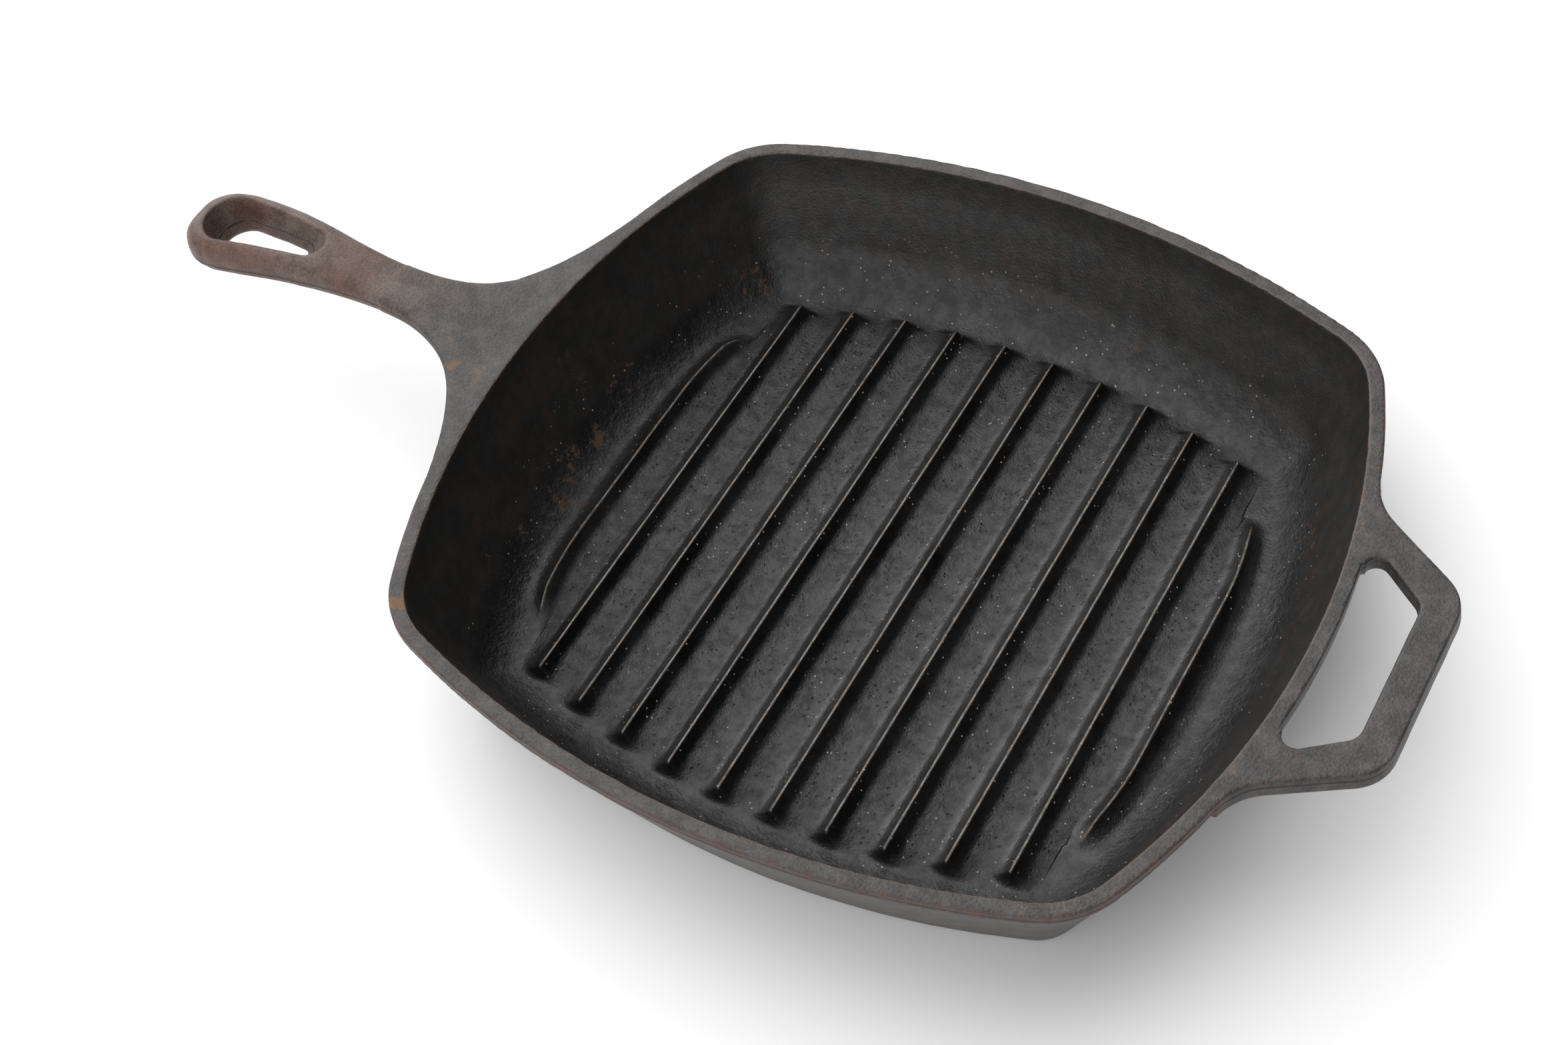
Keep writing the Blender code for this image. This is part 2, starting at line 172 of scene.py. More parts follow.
# Places where rust shows through: x, y, z, reach and strength
RUST_SPOTS = (
    (-0.1077, 0.0026, 0.0100, 0.0060, 1.0),
    (-0.1093, -0.0089, 0.0110, 0.0090, 0.8),
    (-0.1050, -0.0214, 0.0090, 0.0110, 0.7),
    (-0.1080, -0.0403, 0.0110, 0.0150, 0.55),
    (-0.1090, 0.0250, 0.0100, 0.0150, 0.6),
    (-0.1180, 0.0100, 0.0250, 0.0200, 0.5),
    (-0.0980, 0.0830, 0.0100, 0.0100, 0.8),
    (0.0300, 0.1080, 0.0110, 0.0120, 0.5),
    (0.0700, 0.1080, 0.0110, 0.0120, 0.5),
    (0.1120, 0.0600, 0.0120, 0.0150, 0.6),
    (-0.1425, -0.0186, 0.0495, 0.0026, 1.3),
    (-0.1345, -0.0192, 0.0495, 0.0036, 1.2),
    (-0.1065, -0.1010, 0.0488, 0.0045, 1.3),
    (-0.0980, -0.1045, 0.0480, 0.0050, 0.9),
)

# The grid that the field is sampled on
CELL = (RIDGE_PITCH / 24, 0.0012, 0.0007)
BLOCK = 4  # a first look at the field is taken once in a block of this many nodes each way
BLOCK_SPARE = 1.6
MARGIN = 0.003
PROBE = 0.00012  # how far from a point its slope is measured
SETTLE_PASSES = 3
LEAST_SLOPE = 0.05
MIDDLE_PULL = 0.05  # how strongly a sharp point is held to the middle of its cell
FARTHEST = 0.8  # the most that it may move from there, in cells

BROWN_FROM = (0.145, 0.190)  # the long handle turns brown between these distances from the middle

# Distances that switch a mark off, in metres
NO_SEAM = 1.0
NO_WEAR = 9.0

# Colours, as linear red, green and blue. A pair is mixed by a noise.
GREY_IRON = ((0.019, 0.018, 0.018), (0.068, 0.060, 0.056))
BROWN_IRON = ((0.046, 0.027, 0.020), (0.145, 0.100, 0.082))
RED_IRON = ((0.052, 0.022, 0.015), (0.120, 0.062, 0.047))
FLOOR_BLACK = ((0.0008, 0.0008, 0.0010), (0.0032, 0.0033, 0.0036))
WALL_BLACK = ((0.0110, 0.0105, 0.0100), (0.0190, 0.0125, 0.0085))
# Worn metal on the ridges' crests, which also serves as a painted highlight along them
CREST_METAL_AND_HIGHLIGHT = ((0.030, 0.021, 0.016), (0.165, 0.115, 0.078))
LIP_METAL = (0.120, 0.070, 0.050)
EDGE_RED = (0.080, 0.034, 0.024)
RUST_INSIDE = (0.075, 0.030, 0.012)
RUST_OUTSIDE = (0.190, 0.115, 0.062)
# Painted shade along the parting groove, which is too narrow for the mesh
SEAM_PAINTED_SHADE = (0.010, 0.008, 0.007)
CRUMB = (0.42, 0.34, 0.27)

# Depths below the rim between which a part of the finish comes on, in millimetres
FLOOR_DEPTH = (HEIGHT * 1000 - 20, HEIGHT * 1000 - 8)
CRUMB_DEPTH = (HEIGHT * 1000 - 30, HEIGHT * 1000 - 15)
WALL_FOOT = (38.0, 31.0)

# Relief in the finish, in metres
GRAIN_OUTSIDE = 0.00026
GRAIN_INSIDE = 0.00016
LUMP_RELIEF = 0.00035
FLAKE_RELIEF = 0.00065
FOOT_RELIEF = 0.00045
SEAM_DEPTH = 0.00030

TABLE_REACH = 40.0  # from the middle to each edge
TABLE_GAP = 0.0003  # below the underside

# The light: its direction, the cosines between which it changes, and its strength at each
WINDOW = ((-0.50, 0.34, 0.79), 0.45, 0.95, 0.0, 2.1)
DARK_SIDE = ((0.82, 0.57, 0.0), -0.3, 0.5, 0.55, 0.02)
FRONT = ((0.25, -1.0, 0.30), 0.50, 0.95, 0.0, 1.3)

# The kind of iron that each piece is made of. Every ridge is ridge_iron.
SLOTS = {
    "floor_plate": "pan_iron",
    "side_wall": "pan_iron",
    "rim_band": "handle_iron",
    "long_handle": "handle_iron",
    "helper_handle": "handle_iron",
}


def bow_radius(half_width, bow):
    return (half_width**2 + bow**2) / (2 * bow)


RADIUS_X = bow_radius(HALF_Y, BOW_X)
RADIUS_Y = bow_radius(HALF_X, BOW_Y)
CENTRE_X = HALF_X - RADIUS_X
CENTRE_Y = HALF_Y - RADIUS_Y


def corner_centre():
    """The centre of the corner round that touches both bowed sides."""
    first = Vector((CENTRE_X, 0.0))
    second = Vector((0.0, CENTRE_Y))
    crossings = geometry.intersect_sphere_sphere_2d(
        first, RADIUS_X - CORNER_RADIUS, second, RADIUS_Y - CORNER_RADIUS
    )
    return max(crossings, key=sum)


CORNER = corner_centre()


def outline_offset(x, y):
    """The distance outward from the rim's outer edge, a bowed square with round corners."""
    x = np.abs(x)
    y = np.abs(y)
    sides = np.maximum(np.hypot(x - CENTRE_X, y) - RADIUS_X, np.hypot(x, y - CENTRE_Y) - RADIUS_Y)
    past_x = x - CORNER.x
    past_y = y - CORNER.y
    beyond_first = (CORNER.x - CENTRE_X) * past_y - CORNER.y * past_x > 0
    before_second = (CORNER.y - CENTRE_Y) * past_x - CORNER.x * past_y > 0
    corner = np.hypot(past_x, past_y) - CORNER_RADIUS
    return np.where(beyond_first & before_second, corner, sides)


def edge_x(y):
    """Where the rim's outer edge is on the +X side at a given y."""
    return CENTRE_X + math.sqrt(RADIUS_X**2 - y**2)


def round_max(a, b, radius):
    """The overlap of two solids, with a round along the edge where their surfaces meet."""
    past = np.hypot(np.maximum(a + radius, 0), np.maximum(b + radius, 0))
    return np.minimum(-radius, np.maximum(a, b)) + past


def round_min(a, b, radius):
    """Two solids joined, with a fillet in the corner where their surfaces meet."""
    return -round_max(-a, -b, radius)


def bump(value, width):
    """1 where value is 0, falling away to 0 over about width."""
    return np.exp(-((value / width) ** 2))


def ramp(value, low, high):
    """0 below low, 1 above high and a smooth slope between."""
    share = np.clip((value - low) / (high - low), 0, 1)
    return share * share * (3 - 2 * share)


def lattice(seed):
    """A block of random values for a noise to pass through."""
    return np.random.default_rng(seed).uniform(-1, 1, (32, 32, 32))


LATTICES = [lattice(seed) for seed in (11, 12)]


def noise(x, y, z, size, table):
    """Smooth random values from -1 to 1 in lumps about size across."""
    cells = []
    shares = []
    for value in (x, y, z):
        place = value / size
        cell = np.floor(place)
        share = place - cell
        cells.append(cell.astype(np.int64))
        shares.append(share * share * (3 - 2 * share))
    total = 0.0
    for corner in itertools.product((0, 1), repeat=3):
        weight = 1.0
        index = []
        for step, cell, share in zip(corner, cells, shares):
            weight = weight * (share if step else 1 - share)
            index.append((cell + step) % len(table))
        total = total + weight * table[tuple(index)]
    return total


def ridge_table():
    """Each ridge's centre, half length, height and bend, as columns in order of x."""
    middle = (len(RIDGE_NODES) - 1) / 2
    rows = []
    for place, name in enumerate(RIDGE_NODES):
        low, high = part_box(name)
        centre = RIDGE_MIDDLE[0] + (place - middle) * RIDGE_PITCH
        bend = 0.0
        if name in (RIDGE_NODES[0], RIDGE_NODES[-1]):
            centre = math.copysign(CURVED_RIDGE_X, centre) + RIDGE_MIDDLE[0]
            bend = math.copysign(RIDGE_BEND, centre)
        rows.append((centre, (high.y - low.y) / 2, high.z - FLOOR, bend))
    return np.array(rows).T


RIDGES = ridge_table()


def nearest_ridge(x):
    middles = (RIDGES[0][1:] + RIDGES[0][:-1]) / 2
    return np.searchsorted(middles, x)


def from_ridge(x, y):
    """The place across the nearest ridge, the place past its end, and its height."""
    centre, half_length, height, bend = (column[nearest_ridge(x)] for column in RIDGES)
    along = np.abs(y - RIDGE_MIDDLE[1])
    past = np.maximum(along - RIDGE_STRAIGHT, 0) / (half_length - RIDGE_STRAIGHT)
    fade = np.where(bend == 0, 1.0, ramp(half_length - along, *CURVED_FADE))
    return x - centre + bend * past**2, along - half_length, height * fade


def floor_height(x, y):
    """The top of the floor: hollow channels between narrow ridges with blunt ends."""
    across, beyond, height = from_ridge(x, y)
    beyond = np.maximum(beyond, 0)
    away = np.hypot(np.hypot(across, beyond * RIDGE_END), CREST_ROUND) - CREST_ROUND
    return FLOOR + height * (1 - np.minimum(away / RIDGE_REACH, 1)) ** SCALLOP_POWER


# A ridge is steepest at its crest. The floor's height there, times this, is close to a distance.
FLANK_LEAN = math.cos(math.atan(SCALLOP_POWER * RIDGE_RISE / RIDGE_REACH))


def pan_outside(z, offset):
    """The pan filled in and without its top: the wall's outer face, the underside and the lip."""
    run = DRAFT * np.maximum(LIP_BOTTOM - z, 0)
    outer = (offset + LIP_OVERHANG + run) * math.cos(DRAFT_ANGLE)
    lip = round_max(offset, LIP_BOTTOM - z, LIP_ROUND)
    return np.minimum(round_max(outer, -z, BASE_ROUND), lip)


def pan_inside(x, y, z, offset):
    """The space for food: the wall's inner face, the floor and the ridges."""
    run = DRAFT * (LIP_BOTTOM - z)
    inner = (offset + LIP_OVERHANG + WALL_WIDTH + run) * math.cos(DRAFT_ANGLE)
    inner = round_max(inner, offset + RIM_WIDTH, LIP_HEIGHT)
    return round_max(inner, (floor_height(x, y) - z) * FLANK_LEAN, FLOOR_FILLET)


def smooth_between(sections, x):
    """The values of the row of sections at x, on a smooth curve through the listed ones."""
    last = len(sections) - 1
    index = 0
    while index < last - 1 and sections[index + 1][0] < x:
        index += 1
    before = sections[max(index - 1, 0)]
    near = sections[index]
    far = sections[index + 1]
    beyond = sections[min(index + 2, last)]
    span = far[0] - near[0]
    t = (x - near[0]) / span
    values = []
    for a, b, c, d in zip(before[1:], near[1:], far[1:], beyond[1:]):
        start_slope = (c - a) / (far[0] - before[0]) * span
        end_slope = (d - b) / (beyond[0] - near[0]) * span
        rise = b * (1 + 2 * t) * (1 - t) ** 2 + c * t**2 * (3 - 2 * t)
        values.append(rise + start_slope * t * (1 - t) ** 2 - end_slope * t**2 * (1 - t))
    return values


def handle_profile(count=600):
    """Rows of x, half width, crown, edge and underside along the long handle."""
    flare = geometry.interpolate_bezier(*(Vector(point) for point in FLARE_CURVE), FLARE_STEPS)
    flare_x = [point.x for point in flare]
    flare_y = [point.y for point in flare]
    rows = []
    for x in np.linspace(TIP_CENTRE - TIP_RADIUS, FLARE_CURVE[-1][0], count):
        half_width, crown, edge, under = smooth_between(HANDLE_SECTIONS, x)
        if x < TIP_CENTRE:
            half_width = math.sqrt(max(TIP_RADIUS**2 - (x - TIP_CENTRE) ** 2, 1e-8))
        if x > FLARE_CURVE[0][0]:
            half_width = np.interp(x, flare_x, flare_y)
        rows.append((x, half_width, crown, edge, under))
    return np.array(rows).T


HANDLE_PROFILE = handle_profile()


def handle_at(x):
    return [np.interp(x, HANDLE_PROFILE[0], column) for column in HANDLE_PROFILE[1:]]


def capsule(x, y, near_x, near_radius, far_x, far_radius):
    """The distance from two rounds on the X axis joined by straight sides that touch both."""
    length = far_x - near_x
    lean = (near_radius - far_radius) / length
    rise = np.sqrt(1 - lean**2)
    along = x - near_x
    y = np.abs(y)
    on_side = rise * y + lean * along - near_radius
    near = np.hypot(along, y) - near_radius
    far = np.hypot(along - length, y) - far_radius
    place = along * rise - y * lean
    return np.where(place < 0, near, np.where(place > length * rise, far, on_side))


def thumb_dish(x, y, z):
    """The bowl round the hanging hole, which slopes down all round to the hole."""
    (tip_x, tip_lip), (pan_x, pan_lip) = DISH_LIP
    lip = HEIGHT + tip_lip + (pan_lip - tip_lip) * (x - tip_x) / (pan_x - tip_x)
    land = HEIGHT + handle_at(x)[3] + HOLE_LAND
    share = np.clip((z - land) / (lip - land), 0, 1) ** DISH_CURVE
    rounds = []
    for hole, dish in zip(HOLE_ROUNDS, DISH_ROUNDS):
        rounds += [hole[0] + (dish[0] - hole[0]) * share, hole[1] + (dish[1] - hole[1]) * share]
    return capsule(x, y, *rounds) * DISH_SLOPE


def long_handle(x, y, z, offset, lift=0.0):
    """The long handle, with its crown raised by lift."""
    half_width, crown, edge, under = handle_at(x)
    crown = crown + lift
    up = z - HEIGHT - edge
    rise = np.where(up > 0, crown - edge, edge - under)
    across = np.abs(y) / half_width
    height = np.abs(up) / rise
    reach = (across**BOX_POWER + height**BOX_POWER) ** (1 / BOX_POWER)
    reach = np.maximum(reach, 1e-6)
    lean_across = (across / reach) ** (BOX_POWER - 1) / half_width
    lean_up = (height / reach) ** (BOX_POWER - 1) / rise
    body = (reach - 1) / np.maximum(np.hypot(lean_across, lean_up), 1.0)
    body = round_max(body, HANDLE_PROFILE[0][0] - x, TIP_ROUND)
    body = np.maximum(body, -RIM_WIDTH / 2 - offset)
    return round_max(body, -thumb_dish(x, y, z), DISH_EDGE_ROUND)


def arc(centre, radius, start, end, steps):
    """Points along an arc, both ends included."""
    points = []
    for angle in np.linspace(start, end, steps + 1):
        points.append((centre[0] + radius * math.cos(angle), centre[1] + radius * math.sin(angle)))
    return points


def fillet(before, corner, after, radius, steps=8):
    """Points along the arc that rounds a corner."""
    corner = Vector(corner)
    back = (Vector(before) - corner).normalized()
    on = (Vector(after) - corner).normalized()
    half = back.angle(on) / 2
    centre = corner + (back + on).normalized() * radius / math.sin(half)
    start = corner + back * radius / math.tan(half) - centre
    end = corner + on * radius / math.tan(half) - centre
    first = math.atan2(start.y, start.x)
    turn = math.remainder(math.atan2(end.y, end.x) - first, 2 * math.pi)
    return arc(centre, radius, first, first + turn, steps)


def polygon_distance(points, x, y):
    """The distance from a closed loop of points, negative inside it."""
    nearest = np.full(np.shape(x), 1.0)
    inside = np.zeros(np.shape(x), bool)
    for (ax, ay), (bx, by) in zip(points, points[1:] + points[:1]):
        run_x = bx - ax
        run_y = by - ay
        share = ((x - ax) * run_x + (y - ay) * run_y) / (run_x**2 + run_y**2)
        share = np.clip(share, 0, 1)
        gap_x = x - ax - share * run_x
        gap_y = y - ay - share * run_y
        nearest = np.minimum(nearest, gap_x**2 + gap_y**2)
        if ay != by:
            crosses = (ay > y) != (by > y)
            inside ^= crosses & (x < ax + run_x * (y - ay) / run_y)
    return np.where(inside, -1, 1) * np.sqrt(nearest)


def helper_loops():
    """The outer outline of the helper handle, closed inside the rim, and its hole."""
    root = (edge_x(HELPER_ROOT_Y), HELPER_ROOT_Y)
    flare = fillet(root, HELPER_FLARE, HELPER_CORNER, HELPER_FLARE_RADIUS)
    corner = fillet(HELPER_FLARE, HELPER_CORNER, (HELPER_REACH, 0.0), HELPER_CORNER_RADIUS)
    half = [HELPER_INNER] + flare + corner
    outer = half + [(x, -y) for x, y in reversed(half)]
    hole_side = (edge_x(0.0), 0.0)
    hole = fillet(hole_side, HELPER_HOLE_ROOT, HELPER_HOLE_END, HELPER_HOLE_ROOT_RADIUS)
    hole += fillet(HELPER_HOLE_ROOT, HELPER_HOLE_END, (HELPER_HOLE_END[0], 0.0), HELPER_HOLE_END_RADIUS)
    hole = [(HELPER_INNER[0], hole[0][1])] + hole
    return outer, hole + [(x, -y) for x, y in reversed(hole)]


HELPER_OUTER, HELPER_HOLE = helper_loops()
HELPER_THICKNESS = HEIGHT - HELPER_BOX[0].z


def helper_handle(x, y, z, offset):
    """The helper handle without its top face, which is level with the rim's."""
    depth = HEIGHT - z
    outer = polygon_distance(HELPER_OUTER, x, y) - HELPER_DRAFT * depth
    hole = round_max(polygon_distance(HELPER_HOLE, x, y), -offset, HELPER_HOLE_MEETING)
    body = round_max(outer, depth - HELPER_THICKNESS, HELPER_UNDER_ROUND)
    body = round_max(body, -hole, HELPER_HOLE_ROUND)
    return np.maximum(body, -RIM_WIDTH / 2 - offset)


def shape_field(x, y, z):
    """The whole casting with a smooth skin."""
    offset = outline_offset(x, y)
    field = pan_outside(z, offset)
    right = x > HANDLES_FROM
    if right.any():
        handle = helper_handle(x[right], y[right], z[right], offset[right])
        field[right] = np.minimum(field[right], handle)
    left = x < -HANDLES_FROM
    if left.any():
        near = ramp(x[left], FLARE_CURVE[1][0], FLARE_CURVE[2][0])
        handle = long_handle(x[left], y[left], z[left], offset[left], FLARE_LIFT * near)
        apart = FLARE_LIFT * (1 - np.minimum(FLARE_SINK * near, 1))
        field[left] = np.minimum(field[left], handle + apart)
    field = round_max(field, z - HEIGHT, RIM_ROUND)
    if left.any():
        handle = long_handle(x[left], y[left], z[left], offset[left])
        blend = np.clip(LIP_BOTTOM - z[left], 1e-5, UNDERSIDE_FILLET)
        field[left] = round_min(field[left], handle, blend)
    return round_max(field, -pan_inside(x, y, z, offset), RIM_ROUND)


def skin(x, y, z):
    """The unevenness of the cast and seasoned surface, in metres."""
    total = 0.0
    for (size, height), table in zip((SKIN_BROAD, SKIN_LUMPS), LATTICES):
        total = total + noise(x, y, z, size, table) * height
    return total


def cast_field(x, y, z):
    return shape_field(x, y, z) + skin(x, y, z)


def grid_axes():
    """The coordinates of the grid's nodes, in whole blocks, with cells centred on the crests."""
    axes = []
    for low, high, step, middle in zip(CAD_BOX[0], CAD_BOX[1], CELL, (*RIDGE_MIDDLE, 0.0)):
        first = math.floor((low - MARGIN) / step)
        count = math.ceil((high + MARGIN) / step) - first
        count += -count % BLOCK
        axes.append(middle + (first + 0.5 + np.arange(count)) * step)
    return axes


def sampled(axes):
    """The field at every node. Blocks far from the surface keep the value at their centre."""
    centres = [axis.reshape(-1, BLOCK).mean(axis=1) for axis in axes]
    places = np.meshgrid(*centres, indexing="ij")
    coarse = shape_field(*(place.ravel() for place in places)).reshape(places[0].shape)
    reach = math.dist((0, 0, 0), [step * BLOCK / 2 for step in CELL]) * BLOCK_SPARE
    block = np.ones((BLOCK, BLOCK, BLOCK), bool)
    near = np.nonzero(np.kron(np.abs(coarse) < reach, block))
    field = coarse
    for axis in range(3):
        field = np.repeat(field, BLOCK, axis=axis)
    field[near] = shape_field(*(axis[index] for axis, index in zip(axes, near)))
    return field


NODES = ["floor_plate", "side_wall", "rim_band", "long_handle", "helper_handle"] + RIDGE_NODES
AIR = -1


def region_labels(axes, field):
    """Which piece each node of the grid is in, as its place in NODES, or AIR."""
    labels = np.full(field.shape, AIR, np.int8)
    iron = np.nonzero(field < 0)
    x, y, z = (axis[index] for axis, index in zip(axes, iron))
    offset = outline_offset(x, y)
    found = np.full(len(x), NODES.index("side_wall"), np.int8)
    over_floor = offset < FLOOR_EDGE
    found[over_floor & (z < FLOOR + RIDGE_CUT)] = NODES.index("floor_plate")
    on_ridge = over_floor & (z > FLOOR + RIDGE_CUT) & (floor_height(x, y) > FLOOR + RIDGE_CUT)
    first_ridge = NODES.index(RIDGE_NODES[0])
    found[on_ridge] = first_ridge + nearest_ridge(x[on_ridge])
    found[z > LIP_BOTTOM] = NODES.index("rim_band")
    outside = offset > HANDLE_CUT
    found[outside & (x < 0)] = NODES.index("long_handle")
    found[outside & (x > 0)] = NODES.index("helper_handle")
    labels[iron] = found
    return labels


def corner_view(grid, corner):
    """The grid's values at one corner of every cell."""
    return grid[tuple(slice(step, size - 1 + step) for step, size in zip(corner, grid.shape))]


CORNERS = list(itertools.product((0, 1), repeat=3))
TETRAHEDRON = np.array([(1, -1, -1), (-1, -1, 1), (-1, 1, -1), (1, 1, 1)], float)


def slope_at(points):
    """The field and its gradient at points, from four samples round each."""
    value = 0.0
    slope = np.zeros_like(points)
    for direction in TETRAHEDRON:
        sample = cast_field(*(points + direction * PROBE).T)
        value = value + sample / 4
        slope += sample[:, None] * direction / (4 * PROBE)
    return value, slope


def settle(points):
    """Moves points onto the surface and returns them with their normals."""
    start = points.copy()
    limit = np.array(CELL)
    for _ in range(SETTLE_PASSES):
        value, slope = slope_at(points)
        size = np.maximum((slope**2).sum(axis=1), LEAST_SLOPE)
        points = points - (value / size)[:, None] * slope
        points = np.clip(points, start - limit, start + limit)
    return points, unit(slope_at(points)[1])


def unit(vectors):
    """The vectors at a length of 1."""
    return vectors / np.maximum(np.linalg.norm(vectors, axis=1), 1e-9)[:, None]


def grid_crossings(axes, field, labels, index):
    """Each grid edge that joins two owners: the four cells round it, the owners, and the crossing."""
    cells = []
    owners = []
    places = []
    for axis in range(3):
        first, second = (axis + 1) % 3, (axis + 2) % 3
        last = labels.shape[axis] - 1
        near = np.take(labels, range(last), axis=axis)
        far = np.take(labels, range(1, last + 1), axis=axis)
        found = np.nonzero(near != far)
        after = list(found)
        after[axis] = after[axis] + 1
        pair = np.array((near[found], far[found])).T
        value, next_value = field[found], field[tuple(after)]
        in_air = (pair == AIR).any(axis=1)
        share = np.where(in_air, value / np.where(in_air, value - next_value, 1), 0.5)
        place = np.array([line[step] for line, step in zip(axes, found)]).T
        place[:, axis] += share * CELL[axis]
        corners = []
        for step_first, step_second in ((-1, -1), (0, -1), (0, 0), (-1, 0)):
            cell = list(found)
            cell[first] = cell[first] + step_first
            cell[second] = cell[second] + step_second
            corners.append(index[tuple(cell)])
        cells.append(np.array(corners).T)
        owners.append(pair)
        places.append(place)
    return np.concatenate(cells), np.concatenate(owners), np.concatenate(places)


def cell_sums(cells, values, count):
    """The sum of values over the crossings round each cell."""
    total = np.zeros((count, values.shape[1]))
    for column in range(values.shape[1]):
        for corner in range(4):
            total[:, column] += np.bincount(cells[:, corner], values[:, column], count)
    return total


def sharp_points(cells, owners, places, count):
    """A point in each cell, drawn to where the planes through the crossings meet, and its normal."""
    in_air = (owners == AIR).any(axis=1)
    inner = cell_sums(cells[~in_air], np.c_[places[~in_air], np.ones((~in_air).sum())], count)
    points = inner[:, :3] / np.maximum(inner[:, 3:], 1)
    cells, places = cells[in_air], places[in_air]
    normals = unit(slope_at(places)[1])
    middle = cell_sums(cells, np.c_[places, np.ones(len(places))], count)
    outside = middle[:, 3] > 0
    middle = middle[:, :3] / np.maximum(middle[:, 3:], 1)
    points[outside] = middle[outside]
    planes = np.zeros((count, 3, 3))
    pull = np.zeros((count, 3))
    for corner in range(4):
        at = cells[:, corner]
        reach = ((places - middle[at]) * normals).sum(axis=1)
        for row in range(3):
            pull[:, row] += np.bincount(at, reach * normals[:, row], count)
            for column in range(3):
                planes[:, row, column] += np.bincount(at, normals[:, row] * normals[:, column], count)
    planes[:, range(3), range(3)] += MIDDLE_PULL
    shift = np.linalg.solve(planes[outside], pull[outside][:, :, None])[:, :, 0]
    limit = FARTHEST * np.array(CELL)
    points[outside] += np.clip(shift, -limit, limit)
    return points, outside


def split_faces(faces, on_surface):
    """Each four-sided face as two triangles, split through a corner that is inside the iron."""
    turned = np.where(~on_surface[faces[:, 1]] | ~on_surface[faces[:, 3]], 1, 0)
    faces = np.where(turned[:, None] == 1, np.roll(faces, -1, axis=1), faces)
    return np.concatenate([faces[:, (0, 1, 2)], faces[:, (0, 2, 3)]])


def surface_marks(points):
    """What the finish depends on at each point. Distances are in millimetres."""
    x, y, z = points.T
    offset = outline_offset(x, y)
    across, beyond, _ = from_ridge(x, y)
    inner = pan_inside(x, y, z, offset)
    on_handle = (x < 0) & (np.abs(y) < FLARE_WIDTH) & (offset > 0)
    parting = z - HEIGHT - np.where(on_handle, handle_at(x)[2], -RIM_PARTING)
    clear_of_helper = (x < HANDLES_FROM) | (np.abs(y) > HELPER_ROOT_WIDTH)
    clear_of_handles = np.where(x > 0, clear_of_helper, np.abs(y) > FLARE_WIDTH)
    marks = {
        "inner": inner,
        "across": across,
        "aside": np.abs(across),
        "beyond": beyond,
        "margin": offset + RIDGE_MARGIN,
        "outer": np.where(clear_of_handles, offset, NO_WEAR),
        "parting": np.where(inner > RIM_WIDTH / 2, parting, NO_SEAM),
    }
    marks = {name: values * 1000 for name, values in marks.items()}
    marks["handle"] = ramp(-x, *BROWN_FROM)
    marks["rust"] = rust_mark(x, y, z)
    return marks


def rust_mark(x, y, z):
    """Where rust shows through: low on the wall by the long handle, and in a few other spots."""
    mark = np.zeros_like(x)
    for place_x, place_y, place_z, reach, strength in RUST_SPOTS:
        away = np.sqrt((x - place_x) ** 2 + (y - place_y) ** 2 + (z - place_z) ** 2)
        mark = np.maximum(mark, strength * bump(away, reach))
    return mark


def piece_mesh(name, points, normals, marks, skin_faces, cut_faces):
    """A closed mesh: four-sided faces on the skin, and triangles where it meets its neighbours."""
    loops = np.concatenate([skin_faces.ravel(), cut_faces.ravel()])
    sizes = np.repeat((4, 3), (len(skin_faces), len(cut_faces)))
    used, corners = np.unique(loops, return_inverse=True)
    corners = corners.reshape(-1).astype(np.int32)
    mesh = bpy.data.meshes.new(name)
    mesh.vertices.add(len(used))
    mesh.vertices.foreach_set("co", points[used].astype(np.float32).ravel())
    mesh.loops.add(len(corners))
    mesh.loops.foreach_set("vertex_index", corners)
    mesh.polygons.add(len(sizes))
    mesh.polygons.foreach_set("loop_start", (np.cumsum(sizes) - sizes).astype(np.int32))
    mesh.update(calc_edges=True)
    mesh.validate()
    mesh.shade_smooth()
    mesh.normals_split_custom_set_from_vertices(normals[used])
    for mark, values in marks.items():
        attribute = mesh.attributes.new(mark, "FLOAT", "POINT")
        attribute.data.foreach_set("value", values[used].astype(np.float32))
    return mesh


def build_casting():
    """All the pieces, by the name of the CAD node that each stands for."""
    axes = grid_axes()
    field = sampled(axes)
    labels = region_labels(axes, field)
    corners = [corner_view(labels, corner) for corner in CORNERS]
    mixed = np.minimum.reduce(corners) != np.maximum.reduce(corners)
    cells = np.nonzero(mixed)
    index = np.full(mixed.shape, -1, np.int32)
    index[cells] = np.arange(len(cells[0]))
    faces, owners, places = grid_crossings(axes, field, labels, index)
    points, outside = sharp_points(faces, owners, places, len(cells[0]))
    normals = np.zeros_like(points)
    normals[:, 2] = 1.0
    points[outside], normals[outside] = settle(points[outside])
    marks = surface_marks(points)
    pieces = {}
    for place, node in enumerate(NODES):
        mine = np.concatenate([faces[owners[:, 0] == place], faces[owners[:, 1] == place][:, ::-1]])
        others = [owners[owners[:, 0] == place][:, 1], owners[owners[:, 1] == place][:, 0]]
        other = np.concatenate(others)
        name = node + "_casting"
        cut_faces = split_faces(mine[other != AIR], outside)
        mesh = piece_mesh(name, points, normals, marks, mine[other == AIR], cut_faces)
        piece = bpy.data.objects.new(name, mesh)
        bpy.context.scene.collection.objects.link(piece)
        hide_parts(node)
        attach(piece, "root")
        pieces[node] = piece
    return pieces


